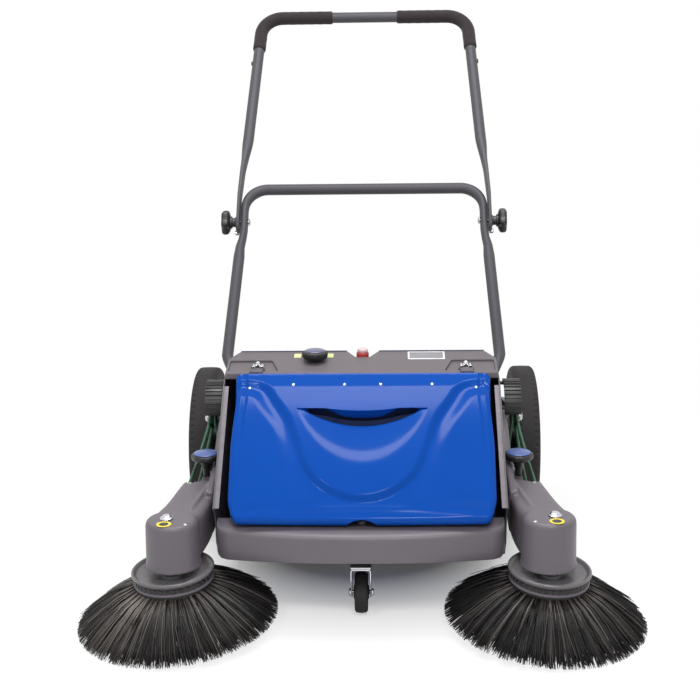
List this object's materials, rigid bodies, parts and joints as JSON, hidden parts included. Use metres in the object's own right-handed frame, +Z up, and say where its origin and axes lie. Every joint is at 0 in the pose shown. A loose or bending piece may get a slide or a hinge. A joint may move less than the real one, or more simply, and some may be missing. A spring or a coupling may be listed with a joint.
{
  "type": "manual push floor sweeper",
  "caption": "Push-along floor sweeper with two angled side brooms driven by the wheels, a main broom, a front-loading debris hopper that tilts forward, and a folding handle.",
  "frame": {"origin": "under the middle of the bounding box, on the floor", "axes": "+Z up; the machine rolls towards -Y; +X is on the right when it is seen from the front, where the hopper is"},
  "size_m": [0.9558, 1.123, 1.0151],
  "materials": {
    "hopper_blue": "satin",
    "body_grey": "satin",
    "sheet_grey": "satin",
    "cover_grey": "satin",
    "tube_grey": "satin",
    "foam_black": "matte foam",
    "tyre_black": "matte",
    "black_plastic": "satin",
    "bristle_black": "matte",
    "cap_blue": "gloss",
    "steel": "zinc plated",
    "belt_green": "satin",
    "latch_red": "satin",
    "rubber_black": "matte"
  },
  "bodies": {
    "frame": {"side_plate_right": "sheet_grey", "side_plate_left": "sheet_grey", "bumper": "body_grey", "front_crossmember": "sheet_grey", "top_beam": "cover_grey", "catch_right": "steel", "catch_left": "steel", "broom_hood": "sheet_grey", "rear_skirt": "rubber_black", "broom_bearing_right": "black_plastic", "broom_bearing_left": "black_plastic", "stub_axle_right": "steel", "stub_axle_left": "steel", "rear_belt_right": "belt_green", "rear_belt_left": "belt_green", "arm_pivot_right": "steel", "arm_pivot_left": "steel", "arm_stop_right": "sheet_grey", "arm_stop_left": "sheet_grey", "lower_handle": "tube_grey", "caster_plate": "steel"},
    "hopper": {"hopper": "hopper_blue", "hopper_lip": "rubber_black"},
    "main_broom": {"main_broom_core": "black_plastic", "drive_pinion": "black_plastic", "main_broom_bristles": "bristle_black"},
    "height_knob": {"height_knob": "black_plastic"},
    "thumb_catch": {"thumb_catch": "latch_red"},
    "wheel_right": {"tyre_right": "tyre_black", "wheel_rim_right": "black_plastic"},
    "wheel_left": {"tyre_left": "tyre_black", "wheel_rim_left": "black_plastic", "ring_gear": "black_plastic"},
    "upper_handle": {"upper_handle": "tube_grey", "grip_right": "foam_black", "grip_left": "foam_black", "clamp_bolt_right": "steel", "clamp_bolt_left": "steel"},
    "caster_fork": {"caster_fork": "steel", "caster_axle": "steel"},
    "caster_wheel": {"caster_wheel": "tyre_black"},
    "arm_left": {"arm_left": "body_grey", "front_belt_left": "belt_green"},
    "side_broom_left": {"side_broom_disc_left": "body_grey", "side_broom_bristles_left": "bristle_black", "side_broom_spindle_left": "steel"},
    "idler_left": {"idler_left": "black_plastic"},
    "adjuster_left": {"adjuster_knob_left": "black_plastic", "adjuster_cap_left": "cap_blue"},
    "clamp_knob_left": {"clamp_knob_left": "black_plastic"},
    "arm_right": {"arm_right": "body_grey", "front_belt_right": "belt_green"},
    "side_broom_right": {"side_broom_disc_right": "body_grey", "side_broom_bristles_right": "bristle_black", "side_broom_spindle_right": "steel"},
    "idler_right": {"idler_right": "black_plastic"},
    "adjuster_right": {"adjuster_knob_right": "black_plastic", "adjuster_cap_right": "cap_blue"},
    "clamp_knob_right": {"clamp_knob_right": "black_plastic"}
  },
  "joints": [
    {"name": "wheel_left_spin", "type": "hinge", "parent": "frame", "child": "wheel_left", "pos_m": [-0.2975, 0.13, 0.155], "axis": [1, 0, 0], "continuous": true},
    {"name": "idler_left_spin", "type": "hinge", "parent": "frame", "child": "idler_left", "pos_m": [-0.2835, -0.042, 0.262], "axis": [1, 0, 0], "continuous": true},
    {"name": "arm_left_raise", "type": "hinge", "parent": "frame", "child": "arm_left", "pos_m": [-0.263, -0.042, 0.262], "axis": [-1, 0, 0], "range_deg": [0, 6]},
    {"name": "side_broom_left_spin", "type": "hinge", "parent": "arm_left", "child": "side_broom_left", "pos_m": [-0.312, -0.392, 0], "axis": [-0.061, -0.0436, 0.9972], "continuous": true},
    {"name": "adjuster_left_turn", "type": "hinge", "parent": "arm_left", "child": "adjuster_left", "pos_m": [-0.2815, -0.212, 0.24], "axis": [0, 0, 1], "continuous": true},
    {"name": "clamp_knob_left_turn", "type": "hinge", "parent": "upper_handle", "child": "clamp_knob_left", "pos_m": [-0.28, 0.208, 0.601], "axis": [1, 0, 0], "continuous": true},
    {"name": "wheel_right_spin", "type": "hinge", "parent": "frame", "child": "wheel_right", "pos_m": [0.2975, 0.13, 0.155], "axis": [1, 0, 0], "continuous": true},
    {"name": "idler_right_spin", "type": "hinge", "parent": "frame", "child": "idler_right", "pos_m": [0.2835, -0.042, 0.262], "axis": [1, 0, 0], "continuous": true},
    {"name": "arm_right_raise", "type": "hinge", "parent": "frame", "child": "arm_right", "pos_m": [0.263, -0.042, 0.262], "axis": [-1, 0, 0], "range_deg": [0, 6]},
    {"name": "side_broom_right_spin", "type": "hinge", "parent": "arm_right", "child": "side_broom_right", "pos_m": [0.312, -0.392, 0], "axis": [0.061, -0.0436, 0.9972], "continuous": true},
    {"name": "adjuster_right_turn", "type": "hinge", "parent": "arm_right", "child": "adjuster_right", "pos_m": [0.2815, -0.212, 0.24], "axis": [0, 0, 1], "continuous": true},
    {"name": "clamp_knob_right_turn", "type": "hinge", "parent": "upper_handle", "child": "clamp_knob_right", "pos_m": [0.28, 0.208, 0.601], "axis": [1, 0, 0], "continuous": true},
    {"name": "main_broom_spin", "type": "hinge", "parent": "frame", "child": "main_broom", "pos_m": [0, 0.015, 0.1335], "axis": [1, 0, 0], "continuous": true},
    {"name": "hopper_tilt", "type": "hinge", "parent": "frame", "child": "hopper", "pos_m": [0, -0.398, 0.1965], "axis": [1, 0, 0], "range_deg": [0, 65]},
    {"name": "upper_handle_fold", "type": "hinge", "parent": "frame", "child": "upper_handle", "pos_m": [0, 0.208, 0.601], "axis": [1, 0, 0], "range_deg": [0, 150]},
    {"name": "caster_swivel", "type": "hinge", "parent": "frame", "child": "caster_fork", "pos_m": [0, -0.363, 0.09], "axis": [0, 0, 1], "continuous": true},
    {"name": "caster_roll", "type": "hinge", "parent": "caster_fork", "child": "caster_wheel", "pos_m": [0, -0.343, 0.0362], "axis": [1, 0, 0], "continuous": true},
    {"name": "height_knob_turn", "type": "hinge", "parent": "frame", "child": "height_knob", "pos_m": [-0.086, -0.118, 0.3931], "axis": [0, 0, 1], "range_deg": [0, 270]},
    {"name": "thumb_catch_press", "type": "slide", "parent": "frame", "child": "thumb_catch", "axis": [0, 0, -1], "range_m": [0, 0.003], "stiffness_N_per_m": 300, "springref_m": -0.002}
  ],
  "couplings": [
    {"joint": "idler_left_spin", "follows": "wheel_left_spin", "ratio": 4.8889},
    {"joint": "side_broom_left_spin", "follows": "wheel_left_spin", "ratio": 4.8889},
    {"joint": "idler_right_spin", "follows": "wheel_right_spin", "ratio": 4.8889},
    {"joint": "side_broom_right_spin", "follows": "wheel_right_spin", "ratio": -4.8889},
    {"joint": "main_broom_spin", "follows": "wheel_left_spin", "ratio": -3.3333}
  ]
}
